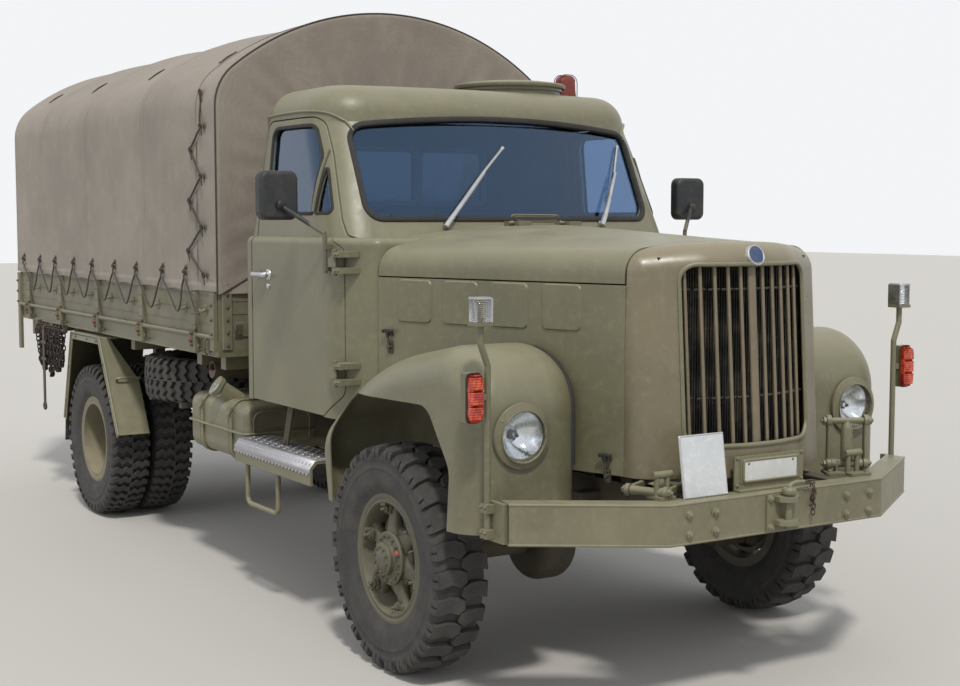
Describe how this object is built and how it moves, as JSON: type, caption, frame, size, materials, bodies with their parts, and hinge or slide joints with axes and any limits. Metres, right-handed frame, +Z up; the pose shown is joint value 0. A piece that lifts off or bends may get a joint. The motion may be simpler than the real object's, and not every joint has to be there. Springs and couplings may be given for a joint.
{
  "type": "cargo truck",
  "caption": "Bonneted four-wheel-drive military cargo truck with a canvas-covered bed, opening doors, hood, roof hatch and tailgate, and steered front wheels.",
  "frame": {"origin": "on the ground, at the middle of the truck's length and width", "axes": "+X forward, +Y to the truck's left, +Z up"},
  "size_m": [7.4019, 2.696, 3.1748],
  "materials": {
    "body_paint": "matt",
    "board_paint": "matt",
    "chassis_paint": "matt",
    "wheel_paint": "matt",
    "grille_grey": "satin",
    "engine_iron": "matt",
    "dark_steel": "worn",
    "exhaust_steel": "worn",
    "clear_glass": "clear",
    "amber_lens": "gloss",
    "window_glass": "clear",
    "seat_vinyl": "satin",
    "black_plastic": "satin",
    "pad_leather": "satin",
    "tyre_rubber": "matt",
    "canvas_cloth": "matt",
    "plate_metal": "satin"
  },
  "bodies": {
    "chassis": {"frame": "chassis_paint", "front_bumper": "body_paint", "towing_gear": "dark_steel", "grille_shell": "body_paint", "grille_bars": "grille_grey", "engine": "engine_iron", "hood_sides": "body_paint", "front_fenders": "body_paint", "lamp_holders": "body_paint", "clear_lenses": "clear_glass", "coloured_lenses": "amber_lens", "cab_shell": "body_paint", "cab_glass": "window_glass", "seats": "seat_vinyl", "hatch_pad": "pad_leather", "fuel_tank": "body_paint", "cab_steps": "body_paint", "spare_tyre": "tyre_rubber", "spare_rim": "wheel_paint", "air_tanks": "chassis_paint", "exhaust": "exhaust_steel", "drivetrain": "chassis_paint", "rear_mudguards": "body_paint", "bed_floor": "body_paint", "bed_sides": "board_paint", "bed_front": "board_paint", "canvas_cover": "canvas_cloth", "plates": "plate_metal", "snow_chains": "dark_steel", "front_axle": "chassis_paint", "rear_axle": "chassis_paint"},
    "door_right": {"door_right": "body_paint", "door_glass_right": "window_glass", "mirror_right": "body_paint"},
    "door_left": {"door_left": "body_paint", "door_glass_left": "window_glass", "mirror_left": "body_paint"},
    "hood": {"hood_top": "body_paint"},
    "hatch": {"hatch_lid": "body_paint"},
    "tailgate": {"tailgate": "board_paint"},
    "steered_right": {"knuckle_right": "chassis_paint"},
    "steered_left": {"knuckle_left": "chassis_paint"},
    "steering_wheel": {"steering_wheel": "black_plastic"},
    "front_wheel_right": {"wheel_front_right": "wheel_paint", "tyre_front_right": "tyre_rubber"},
    "front_wheel_left": {"wheel_front_left": "wheel_paint", "tyre_front_left": "tyre_rubber"},
    "rear_wheel_right": {"wheel_rear_right": "wheel_paint", "tyre_rear_right": "tyre_rubber"},
    "rear_wheel_left": {"wheel_rear_left": "wheel_paint", "tyre_rear_left": "tyre_rubber"}
  },
  "joints": [
    {"name": "door_right_hinge", "type": "hinge", "parent": "chassis", "child": "door_right", "pos_m": [1.786, -1.085, 1.5], "axis": [0, 0, 1], "range_deg": [0, 70]},
    {"name": "door_left_hinge", "type": "hinge", "parent": "chassis", "child": "door_left", "pos_m": [1.786, 1.085, 1.5], "axis": [0, 0, -1], "range_deg": [0, 70]},
    {"name": "hood_hinge", "type": "hinge", "parent": "chassis", "child": "hood", "pos_m": [1.931, 0, 1.975], "axis": [0, -1, 0], "range_deg": [0, 45]},
    {"name": "hatch_hinge", "type": "hinge", "parent": "chassis", "child": "hatch", "pos_m": [0.769, 0.35, 2.6866], "axis": [0, -1, 0], "range_deg": [0, 95]},
    {"name": "tailgate_hinge", "type": "hinge", "parent": "chassis", "child": "tailgate", "pos_m": [-3.679, 0, 1.277], "axis": [0, -1, 0], "range_deg": [0, 90]},
    {"name": "steer_right", "type": "hinge", "parent": "chassis", "child": "steered_right", "pos_m": [2.331, -0.925, 0.507], "axis": [0, 0, 1], "range_deg": [-32, 32]},
    {"name": "steer_left", "type": "hinge", "parent": "chassis", "child": "steered_left", "pos_m": [2.331, 0.925, 0.507], "axis": [0, 0, 1], "range_deg": [-32, 32]},
    {"name": "steering_wheel_turn", "type": "hinge", "parent": "chassis", "child": "steering_wheel", "pos_m": [1.426, -0.45, 1.8], "axis": [-0.788, 0, 0.6157], "range_deg": [-640, 640]},
    {"name": "wheel_front_right_spin", "type": "hinge", "parent": "steered_right", "child": "front_wheel_right", "pos_m": [2.331, -1.014, 0.507], "axis": [0, 1, 0], "continuous": true},
    {"name": "wheel_front_left_spin", "type": "hinge", "parent": "steered_left", "child": "front_wheel_left", "pos_m": [2.331, 1.014, 0.507], "axis": [0, 1, 0], "continuous": true},
    {"name": "wheel_rear_right_spin", "type": "hinge", "parent": "chassis", "child": "rear_wheel_right", "pos_m": [-1.869, -0.848, 0.507], "axis": [0, 1, 0], "continuous": true},
    {"name": "wheel_rear_left_spin", "type": "hinge", "parent": "chassis", "child": "rear_wheel_left", "pos_m": [-1.869, 0.848, 0.507], "axis": [0, 1, 0], "continuous": true}
  ],
  "couplings": [
    {"joint": "steer_left", "follows": "steer_right", "ratio": 1},
    {"joint": "steering_wheel_turn", "follows": "steer_right", "ratio": 20}
  ]
}
